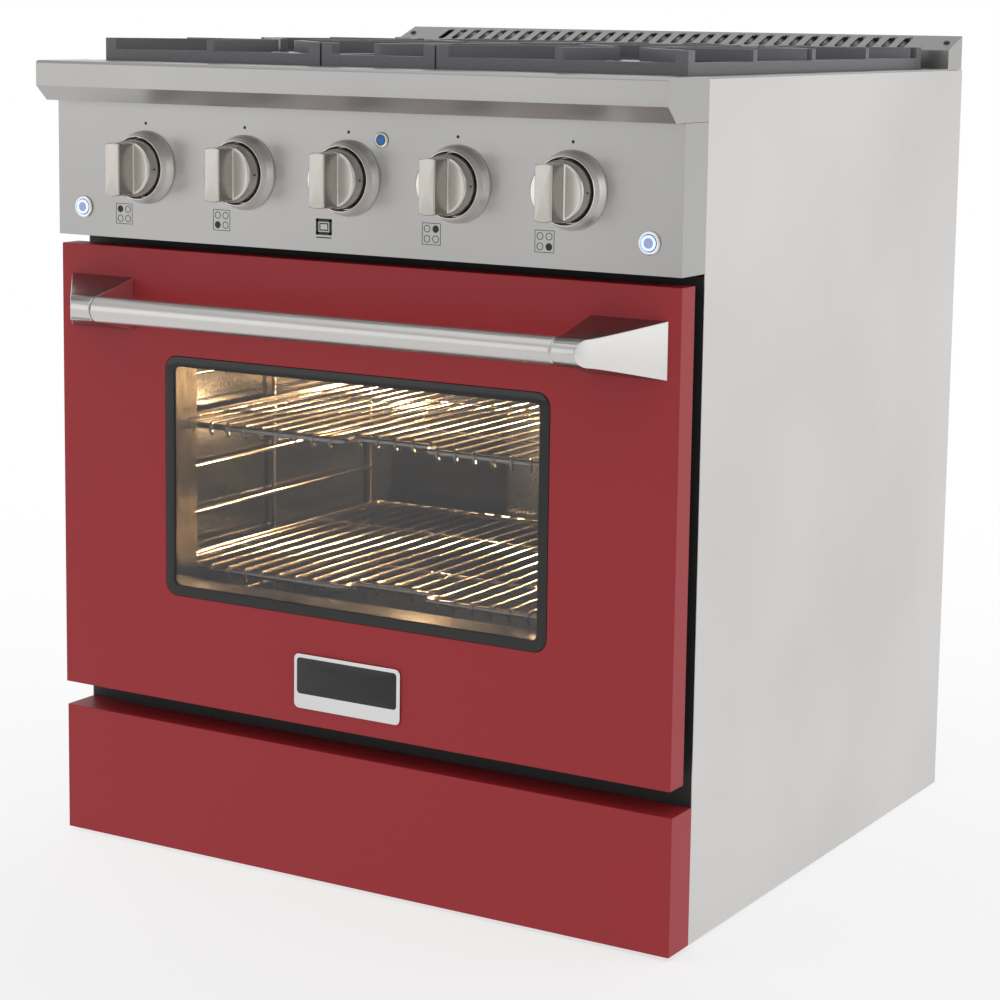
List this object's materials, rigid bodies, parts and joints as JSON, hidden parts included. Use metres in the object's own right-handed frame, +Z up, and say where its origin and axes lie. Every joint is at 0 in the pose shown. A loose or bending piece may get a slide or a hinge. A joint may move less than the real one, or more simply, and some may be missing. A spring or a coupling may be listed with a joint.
{
  "type": "freestanding gas range",
  "caption": "Freestanding gas range with a drop-down oven door, bar handle, push-to-turn knobs, cast grates over sealed burners, sliding oven racks and levelling feet.",
  "frame": {"origin": "on the floor under the middle of the bounding box, with the feet fully screwed in", "axes": "+X to the viewer's right when facing the front, +Y to the rear, +Z up"},
  "size_m": [0.76, 0.781, 0.9],
  "materials": {
    "casing_steel": "satin",
    "zinc_sheet": "satin",
    "red_powder_coat": "satin",
    "brushed_stainless": "brushed",
    "satin_nickel": "satin",
    "black_enamel": "gloss",
    "oven_enamel": "gloss",
    "mineral_wool": "matt",
    "chrome_wire": "polished",
    "cast_iron": "matt",
    "burner_alloy": "cast",
    "brass": "satin",
    "ceramic": "glazed",
    "lamp_glass": "clear",
    "blue_lens": "lit",
    "tinted_glass": "gloss",
    "clear_glass": "gloss",
    "gasket_fibre": "matt",
    "button_cap": "gloss",
    "badge_plate": "gloss",
    "dark_motor": "matt",
    "zinc_foot": "zinc"
  },
  "bodies": {
    "range": {"left_side_panel": "casing_steel", "right_side_panel": "casing_steel", "rear_panel": "zinc_sheet", "base_pan": "zinc_sheet", "front_frame": "zinc_sheet", "kick_panel": "red_powder_coat", "control_panel": "brushed_stainless", "front_trim": "brushed_stainless", "cooktop": "brushed_stainless", "vent_guard": "brushed_stainless", "oven_liner": "oven_enamel", "oven_insulation": "mineral_wool", "rack_guides": "chrome_wire", "oven_floor": "oven_enamel", "bake_burner": "burner_alloy", "broil_burner": "burner_alloy", "fan_cover": "oven_enamel", "fan_motor": "dark_motor", "gas_manifold": "brass", "gas_regulator": "burner_alloy", "valve_bodies": "brass", "burner_bases": "burner_alloy", "burner_caps": "black_enamel", "igniters": "ceramic", "oven_lamp": "lamp_glass", "indicator_lamp": "blue_lens", "control_bezels": "satin_nickel", "hinge_receivers": "zinc_sheet", "door_gasket": "gasket_fibre", "casing_screws": "zinc_sheet"},
    "door": {"door_skin": "red_powder_coat", "door_outer_glass": "tinted_glass", "door_inner_glass": "clear_glass", "door_liner": "oven_enamel", "handle_tube": "brushed_stainless", "handle_brackets": "brushed_stainless", "door_badge": "badge_plate", "hinge_arms": "zinc_sheet"},
    "fan_blade": {"fan_blade": "burner_alloy"},
    "valve_plug_1": {"valve_plug_1": "brass"},
    "valve_plug_2": {"valve_plug_2": "brass"},
    "valve_plug_3": {"valve_plug_3": "brass"},
    "valve_plug_4": {"valve_plug_4": "brass"},
    "valve_plug_5": {"valve_plug_5": "brass"},
    "knob_1": {"knob_1": "satin_nickel"},
    "knob_2": {"knob_2": "satin_nickel"},
    "knob_3": {"knob_3": "satin_nickel"},
    "knob_4": {"knob_4": "satin_nickel"},
    "knob_5": {"knob_5": "satin_nickel"},
    "left_button": {"left_button": "button_cap"},
    "right_button": {"right_button": "button_cap"},
    "left_grate": {"left_grate": "cast_iron"},
    "middle_grate": {"middle_grate": "cast_iron"},
    "right_grate": {"right_grate": "cast_iron"},
    "lower_rack": {"lower_rack": "chrome_wire"},
    "upper_rack": {"upper_rack": "chrome_wire"},
    "foot_front_left": {"foot_front_left": "zinc_foot"},
    "foot_front_right": {"foot_front_right": "zinc_foot"},
    "foot_rear_left": {"foot_rear_left": "zinc_foot"},
    "foot_rear_right": {"foot_rear_right": "zinc_foot"}
  },
  "joints": [
    {"name": "door_open", "type": "hinge", "parent": "range", "child": "door", "pos_m": [0, -0.2875, 0.186], "axis": [1, 0, 0], "range_deg": [0, 90], "stiffness_Nm_per_rad": 10, "springref_deg": -57.3},
    {"name": "lower_rack_slide", "type": "slide", "parent": "range", "child": "lower_rack", "axis": [0, -1, 0], "range_m": [0, 0.25]},
    {"name": "upper_rack_slide", "type": "slide", "parent": "range", "child": "upper_rack", "axis": [0, -1, 0], "range_m": [0, 0.25]},
    {"name": "fan_spin", "type": "hinge", "parent": "range", "child": "fan_blade", "pos_m": [0, 0.2105, 0.409], "axis": [0, 1, 0], "continuous": true},
    {"name": "knob_1_turn", "type": "hinge", "parent": "range", "child": "valve_plug_1", "pos_m": [-0.26, -0.2895, 0.752], "axis": [0, -1, 0], "range_deg": [0, 250]},
    {"name": "knob_1_push", "type": "slide", "parent": "valve_plug_1", "child": "knob_1", "axis": [0, 1, 0], "range_m": [0, 0.003], "stiffness_N_per_m": 1500, "springref_m": -0.003},
    {"name": "knob_2_turn", "type": "hinge", "parent": "range", "child": "valve_plug_2", "pos_m": [-0.13, -0.2895, 0.752], "axis": [0, -1, 0], "range_deg": [0, 250]},
    {"name": "knob_2_push", "type": "slide", "parent": "valve_plug_2", "child": "knob_2", "axis": [0, 1, 0], "range_m": [0, 0.003], "stiffness_N_per_m": 1500, "springref_m": -0.003},
    {"name": "knob_3_turn", "type": "hinge", "parent": "range", "child": "valve_plug_3", "pos_m": [0, -0.2895, 0.752], "axis": [0, -1, 0], "range_deg": [0, 300]},
    {"name": "knob_3_push", "type": "slide", "parent": "valve_plug_3", "child": "knob_3", "axis": [0, 1, 0], "range_m": [0, 0.003], "stiffness_N_per_m": 1500, "springref_m": -0.003},
    {"name": "knob_4_turn", "type": "hinge", "parent": "range", "child": "valve_plug_4", "pos_m": [0.13, -0.2895, 0.752], "axis": [0, -1, 0], "range_deg": [0, 250]},
    {"name": "knob_4_push", "type": "slide", "parent": "valve_plug_4", "child": "knob_4", "axis": [0, 1, 0], "range_m": [0, 0.003], "stiffness_N_per_m": 1500, "springref_m": -0.003},
    {"name": "knob_5_turn", "type": "hinge", "parent": "range", "child": "valve_plug_5", "pos_m": [0.26, -0.2895, 0.752], "axis": [0, -1, 0], "range_deg": [0, 250]},
    {"name": "knob_5_push", "type": "slide", "parent": "valve_plug_5", "child": "knob_5", "axis": [0, 1, 0], "range_m": [0, 0.003], "stiffness_N_per_m": 1500, "springref_m": -0.003},
    {"name": "left_button_press", "type": "slide", "parent": "range", "child": "left_button", "axis": [0, 1, 0], "range_m": [0, 0.003], "stiffness_N_per_m": 400, "springref_m": -0.002},
    {"name": "right_button_press", "type": "slide", "parent": "range", "child": "right_button", "axis": [0, 1, 0], "range_m": [0, 0.003], "stiffness_N_per_m": 400, "springref_m": -0.002},
    {"name": "left_grate_lift", "type": "slide", "parent": "range", "child": "left_grate", "axis": [0, 0, 1], "range_m": [0, 0.12]},
    {"name": "middle_grate_lift", "type": "slide", "parent": "range", "child": "middle_grate", "axis": [0, 0, 1], "range_m": [0, 0.12]},
    {"name": "right_grate_lift", "type": "slide", "parent": "range", "child": "right_grate", "axis": [0, 0, 1], "range_m": [0, 0.12]},
    {"name": "foot_front_left_level", "type": "slide", "parent": "range", "child": "foot_front_left", "axis": [0, 0, -1], "range_m": [0, 0.035]},
    {"name": "foot_front_right_level", "type": "slide", "parent": "range", "child": "foot_front_right", "axis": [0, 0, -1], "range_m": [0, 0.035]},
    {"name": "foot_rear_left_level", "type": "slide", "parent": "range", "child": "foot_rear_left", "axis": [0, 0, -1], "range_m": [0, 0.035]},
    {"name": "foot_rear_right_level", "type": "slide", "parent": "range", "child": "foot_rear_right", "axis": [0, 0, -1], "range_m": [0, 0.035]}
  ],
  "couplings": [
    {"joint": "lower_rack_slide", "follows": "door_open", "m_per_rad": 0.159},
    {"joint": "upper_rack_slide", "follows": "door_open", "m_per_rad": 0.159}
  ]
}
